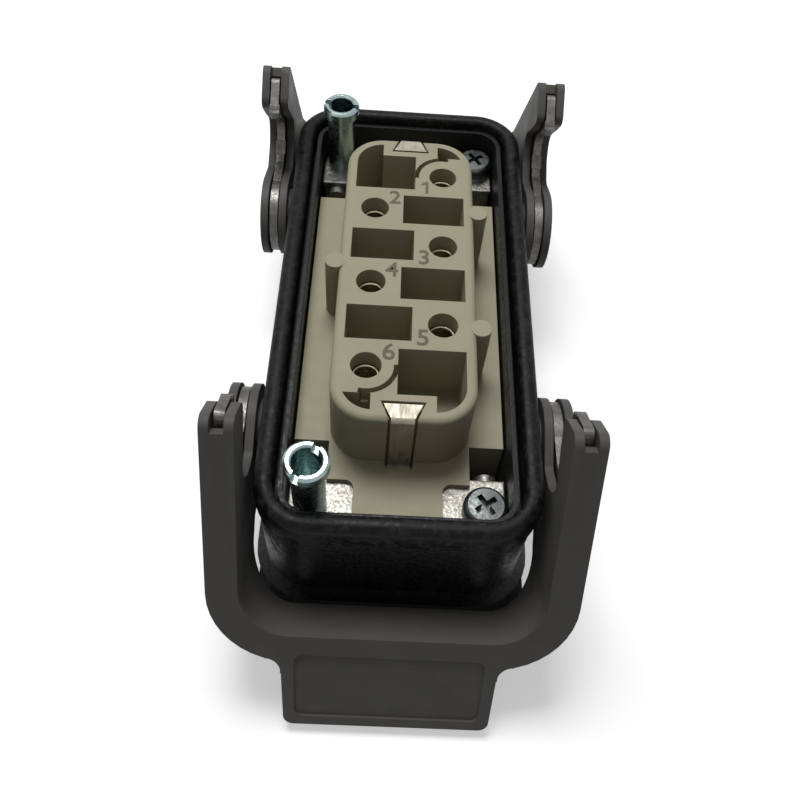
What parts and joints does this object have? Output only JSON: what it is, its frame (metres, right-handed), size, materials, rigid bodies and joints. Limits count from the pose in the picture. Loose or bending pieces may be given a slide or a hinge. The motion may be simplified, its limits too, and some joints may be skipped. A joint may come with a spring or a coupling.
{
  "type": "heavy duty rectangular connector",
  "caption": "Bulkhead housing with rim seal, moulded socket insert and swinging locking levers for a heavy duty rectangular power connector.",
  "frame": {"origin": "centre of the flange gasket's underside, in the panel plane", "axes": "+Z out of the panel towards the mating side, +Y along the housing towards contact 1, +X across"},
  "size_m": [0.0558, 0.1328, 0.0459],
  "materials": {
    "housing": "black powder coat, fine texture",
    "rim_seal": "matte black elastomer",
    "flange_gasket": "matte black elastomer",
    "insert_body": "pebble grey, fine moulded",
    "contact": "silver plated, turned",
    "terminal_screws": "plated steel",
    "earth_spring": "satin nickel",
    "earth_bracket": "bright plated sheet",
    "earth_screws": "plated steel",
    "guide_bush": "blue passivated zinc plate",
    "fixing_screws": "blue passivated zinc plate",
    "fixing_washers": "zinc plated spring steel",
    "pivot_pins": "turned steel",
    "lever": "mid grey, fine moulded",
    "hook_plate": "stamped stainless steel"
  },
  "bodies": {
    "connector_base": {"housing": "housing", "rim_seal": "rim_seal", "flange_gasket": "flange_gasket", "insert_body": "insert_body", "contact_1": "contact", "contact_2": "contact", "contact_3": "contact", "contact_4": "contact", "contact_5": "contact", "contact_6": "contact", "terminal_screws": "terminal_screws", "earth_spring_front": "earth_spring", "earth_spring_rear": "earth_spring", "earth_bracket_front": "earth_bracket", "earth_bracket_rear": "earth_bracket", "earth_screws": "earth_screws", "guide_bush_front": "guide_bush", "guide_bush_rear": "guide_bush", "fixing_screws": "fixing_screws", "fixing_washers": "fixing_washers", "pivot_pins": "pivot_pins"},
    "front_lever_set": {"front_lever": "lever", "front_hook_left": "hook_plate", "front_hook_right": "hook_plate"},
    "rear_lever_set": {"rear_lever": "lever", "rear_hook_left": "hook_plate", "rear_hook_right": "hook_plate"}
  },
  "joints": [
    {"name": "front_lever_pivot", "type": "hinge", "parent": "connector_base", "child": "front_lever_set", "pos_m": [0, -0.0246, 0.0221], "axis": [-1, 0, 0], "range_deg": [0, 57]},
    {"name": "rear_lever_pivot", "type": "hinge", "parent": "connector_base", "child": "rear_lever_set", "pos_m": [0, 0.0246, 0.0221], "axis": [1, 0, 0], "range_deg": [0, 57]}
  ]
}
